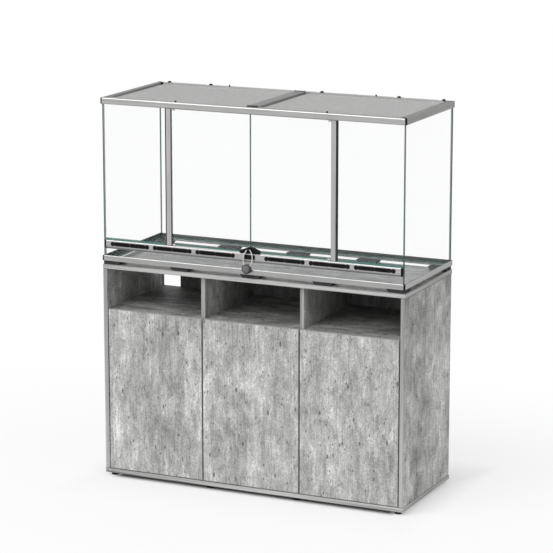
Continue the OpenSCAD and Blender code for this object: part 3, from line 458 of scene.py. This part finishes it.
def mesh_lid(side):
    """Fine wire mesh in a folded rim, in place of the coarse grid of the solids."""
    node = "mesh_lid_" + side
    lo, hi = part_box(node)
    bm = bmesh.new()
    ring_into(bm, lo, hi, LID_RIM, LID_EASE)
    bmesh.ops.recalc_face_normals(bm, faces=bm.faces)
    rim = add("lid_rim_" + side, bm, WIRE, node)
    bm = bmesh.new()
    inset = LID_RIM - MESH_TUCK
    x0, x1, y0, y1 = lo[0] + inset, hi[0] - inset, lo[1] + inset, hi[1] - inset
    z, thick, thin = hi[2] - MESH_DEPTH, WIRE_R, WIRE_R * WIRE_FLAT
    for k in range(int((x1 - x0) / MESH_PITCH) + 1):
        x = x0 + k * MESH_PITCH
        box_into(bm, (x - WIRE_R, y0, z - thick), (x + WIRE_R, y1, z + thin))
    for k in range(int((y1 - y0) / MESH_PITCH) + 1):
        y = y0 + k * MESH_PITCH
        box_into(bm, (x0, y - WIRE_R, z - thin), (x1, y + WIRE_R, z + thick))
    add("lid_mesh_" + side, bm, WIRE, node)
    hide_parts(node)


mesh_lid("left")
mesh_lid("right")


# ---------------------------------------------------------------- world and floor

WORLD_LIGHT = 0.52   # the white world's strength as a light; it is seen at full strength
FLOOR_SIZE = 20
FLOOR_TONES = (0.90, 0.92)
FOOTPRINT_X = 0.6    # half the cabinet's width and depth
FOOTPRINT_Y = 0.228


def studio_white(tree):
    """1 for what the camera and mirror-like surfaces see directly, 0 for plain light."""
    path = tree.nodes.new("ShaderNodeLightPath")
    seen = path.outputs["Is Camera Ray"]
    for ray in ("Is Glossy Ray", "Is Transmission Ray"):
        either = tree.nodes.new("ShaderNodeMath")
        either.operation = "MAXIMUM"
        tree.links.new(seen, either.inputs[0])
        tree.links.new(path.outputs[ray], either.inputs[1])
        seen = either.outputs[0]
    return seen


world = bpy.data.worlds.new("studio")
scene.world = world
world.use_nodes = True
wt = world.node_tree
wt.nodes.clear()
w_out = wt.nodes.new("ShaderNodeOutputWorld")
w_bg = wt.nodes.new("ShaderNodeBackground")
w_bg.inputs["Color"].default_value = rgba(1)
w_mix = wt.nodes.new("ShaderNodeMapRange")
w_mix.inputs["To Min"].default_value = WORLD_LIGHT
w_mix.inputs["To Max"].default_value = 1.0
wt.links.new(studio_white(wt), w_mix.inputs["Value"])
wt.links.new(w_mix.outputs[0], w_bg.inputs["Strength"])
wt.links.new(w_bg.outputs[0], w_out.inputs["Surface"])

bm = bmesh.new()
bmesh.ops.create_grid(bm, x_segments=1, y_segments=1, size=FLOOR_SIZE)
me = bpy.data.meshes.new("studio_floor")
bm.to_mesh(me)
bm.free()
floor = bpy.data.objects.new("studio_floor", me)
scene.collection.objects.link(floor)

# The floor is lit near the cabinet and white of its own accord further off. Distances are
# measured outwards from the cabinet's footprint, and negative ones lie under it.
fm = Mat("floor_white", Roughness=0.9)
tone = fm.ramp(fm.noise(fm.coords(), 3, 2), *zip((0.3, 0.7), FLOOR_TONES))
from_middle = fm.node("ShaderNodeVectorMath", {0: fm.coords((1, 1.4, 1))},
                      operation="LENGTH").outputs["Value"]
out_x = fm.math("SUBTRACT", fm.math("ABSOLUTE", fm.axis("x")), FOOTPRINT_X)
out_y = fm.math("SUBTRACT", fm.math("ABSOLUTE", fm.axis("y")), FOOTPRINT_Y)
around = fm.math("MAXIMUM", fm.math("MULTIPLY", out_x, 2.5), out_y)
past_ends = fm.fade(out_x, -0.060, -0.030, 0.0, 1.0)
past_front = fm.fade(out_y, 0.004, 0.030, 0.0, 1.0)
# painted shadow: the floor's colour is darkened under the cabinet's front and back edges
painted_shadow_under = fm.fade(out_y, -0.012, 0.014, 0.46, 1.0)
near_by = fm.fade(around, 0.0, 0.28, 0.50, 1.0)
far_off = fm.fade(from_middle, 0.9, 2.4, 0.74, 1.0)
own_white = fm.math("MULTIPLY", fm.math("MAXIMUM", past_front, past_ends),
                    fm.math("MULTIPLY", near_by, far_off))
# the floor's colour is darkened under the cabinet between its ends, a painted shadow
fm.set("Base Color", fm.times(tone, fm.math("MAXIMUM", past_ends, painted_shadow_under)))
glow = fm.node("ShaderNodeEmission", {"Color": rgba(1), "Strength": 1.0})
both = fm.node("ShaderNodeMixShader", {0: fm.math("MULTIPLY", own_white, studio_white(fm.t)),
                                       1: fm.b.outputs[0], 2: glow.outputs[0]})
fm.link(both.outputs[0], fm.out.inputs[0])
me.materials.append(fm.m)


# ---------------------------------------------------------------- light and camera

# Name, direction towards the sun, strength and angle in degrees
SUNS = (("key", (-0.45, -0.75, 0.75), 1.7, 50), ("fill", (0.9, -0.5, 0.8), 0.5, 70))

# The camera as fitted to the photograph's corners
CAMERA_PLACE = (3.802, -8.1837, 2.7646)
CAMERA_DOWN = 0.2173
CAMERA_TURN = 0.4350
CAMERA_LENS = 163.86
CAMERA_SENSOR = 36.0

for name, direction, strength, angle in SUNS:
    data = bpy.data.lights.new(name, "SUN")
    data.energy = strength
    data.angle = math.radians(angle)
    ob = bpy.data.objects.new(name, data)
    ob.rotation_euler = (-Vector(direction)).to_track_quat("-Z", "Y").to_euler()
    scene.collection.objects.link(ob)

cam_data = bpy.data.cameras.new("camera")
cam_data.lens = CAMERA_LENS
cam_data.sensor_width = CAMERA_SENSOR
cam_data.clip_end = 100
cam = bpy.data.objects.new("camera", cam_data)
cam.location = CAMERA_PLACE
cam.rotation_euler = (math.pi / 2 - CAMERA_DOWN, 0.0, CAMERA_TURN)
scene.collection.objects.link(cam)
scene.camera = cam
scene.view_settings.view_transform = "Standard"
